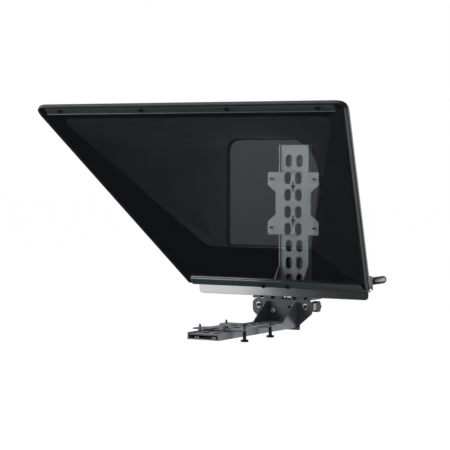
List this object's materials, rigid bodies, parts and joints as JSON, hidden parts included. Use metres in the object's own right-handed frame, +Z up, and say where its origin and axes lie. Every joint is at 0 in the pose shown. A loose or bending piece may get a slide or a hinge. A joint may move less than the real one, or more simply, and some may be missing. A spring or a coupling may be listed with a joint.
{
  "type": "teleprompter",
  "caption": "Beam-splitter teleprompter: tilted glass in a black tray with a hood behind it, a camera plate, and a slotted arm that holds a display under the glass.",
  "frame": {"origin": "middle of the flat underside of the mount block, where the tripod head bears", "axes": "+Z up; +X across the glass; -Y towards the talent, so the camera stands on the +Y side"},
  "size_m": [0.6736, 0.4479, 0.4552],
  "materials": {
    "black_plastic": "fine matt moulded black",
    "beam_glass": "polished, half-mirrored",
    "rail_paint": "satin dark grey-green",
    "black_steel": "blackened, semi-matt",
    "seal_foam": "matt closed-cell foam",
    "bracket_paint": "satin mid grey",
    "bright_steel": "brushed, bright",
    "plate_paint": "smooth satin black",
    "arm_paint": "fine textured powder coat"
  },
  "bodies": {
    "support": {"glass_tray": "black_plastic", "hood_shell": "black_plastic", "rear_opening_frame": "black_plastic", "beam_splitter_glass": "beam_glass", "top_rail": "rail_paint", "bottom_rail": "rail_paint", "top_rail_screw_1": "black_steel", "top_rail_screw_2": "black_steel", "top_rail_screw_3": "black_steel", "top_rail_screw_4": "black_steel", "bottom_rail_screw_1": "black_steel", "bottom_rail_screw_2": "black_steel", "rear_frame_screw_1": "black_steel", "rear_frame_screw_2": "black_steel", "rear_frame_screw_3": "black_steel", "rear_frame_screw_4": "black_steel", "rod_cap_left": "black_steel", "rod_cap_right": "black_steel", "ear_screw_left": "black_steel", "ear_screw_right": "black_steel", "ring_bolt_left": "black_steel", "ring_bolt_right": "black_steel", "vesa_screw_1": "black_steel", "vesa_screw_2": "black_steel", "rear_seal": "seal_foam", "corner_bracket_left": "bracket_paint", "corner_bracket_right": "bracket_paint", "rod_left": "bright_steel", "rod_right": "bright_steel", "ring_washer_left": "bright_steel", "ring_washer_right": "bright_steel", "pivot_screw": "bright_steel", "arm_stud_1": "bright_steel", "arm_stud_2": "bright_steel", "arm_stud_3": "bright_steel", "arm_stud_4": "bright_steel", "vesa_nut_1": "bright_steel", "vesa_nut_2": "bright_steel", "camera_plate": "plate_paint", "slotted_rail": "arm_paint", "cross_plate": "arm_paint", "mount_block": "arm_paint", "monitor_arm": "arm_paint", "arm_cover": "arm_paint"},
    "display_plate": {"vesa_plate": "arm_paint", "spacer_1": "black_steel", "spacer_2": "black_steel", "spacer_3": "black_steel", "spacer_4": "black_steel"},
    "clamp_knob": {"clamp_knob": "black_plastic"},
    "camera_screw": {"camera_screw": "bright_steel"},
    "thumb_screw_1": {"thumb_screw_1": "black_steel"},
    "thumb_screw_2": {"thumb_screw_2": "black_steel"},
    "thumb_screw_3": {"thumb_screw_3": "black_steel"},
    "thumb_screw_4": {"thumb_screw_4": "black_steel"}
  },
  "joints": [
    {"name": "display_plate_slide", "type": "slide", "parent": "support", "child": "display_plate", "axis": [0, 1, 0], "range_m": [-0.008, 0.008]},
    {"name": "clamp_knob_turn", "type": "hinge", "parent": "support", "child": "clamp_knob", "pos_m": [0.06, 0.011, 0.00931], "axis": [1, 0, 0], "continuous": true},
    {"name": "camera_screw_slide", "type": "slide", "parent": "support", "child": "camera_screw", "axis": [1, 0, 0], "range_m": [-0.024, 0.024]},
    {"name": "thumb_screw_1_turn", "type": "hinge", "parent": "display_plate", "child": "thumb_screw_1", "pos_m": [-0.05, -0.1618, -0.018], "axis": [0, 0, 1], "continuous": true},
    {"name": "thumb_screw_2_turn", "type": "hinge", "parent": "display_plate", "child": "thumb_screw_2", "pos_m": [0.05, -0.1618, -0.018], "axis": [0, 0, 1], "continuous": true},
    {"name": "thumb_screw_3_turn", "type": "hinge", "parent": "display_plate", "child": "thumb_screw_3", "pos_m": [0.05, -0.2618, -0.018], "axis": [0, 0, 1], "continuous": true},
    {"name": "thumb_screw_4_turn", "type": "hinge", "parent": "display_plate", "child": "thumb_screw_4", "pos_m": [-0.05, -0.2618, -0.018], "axis": [0, 0, 1], "continuous": true}
  ]
}
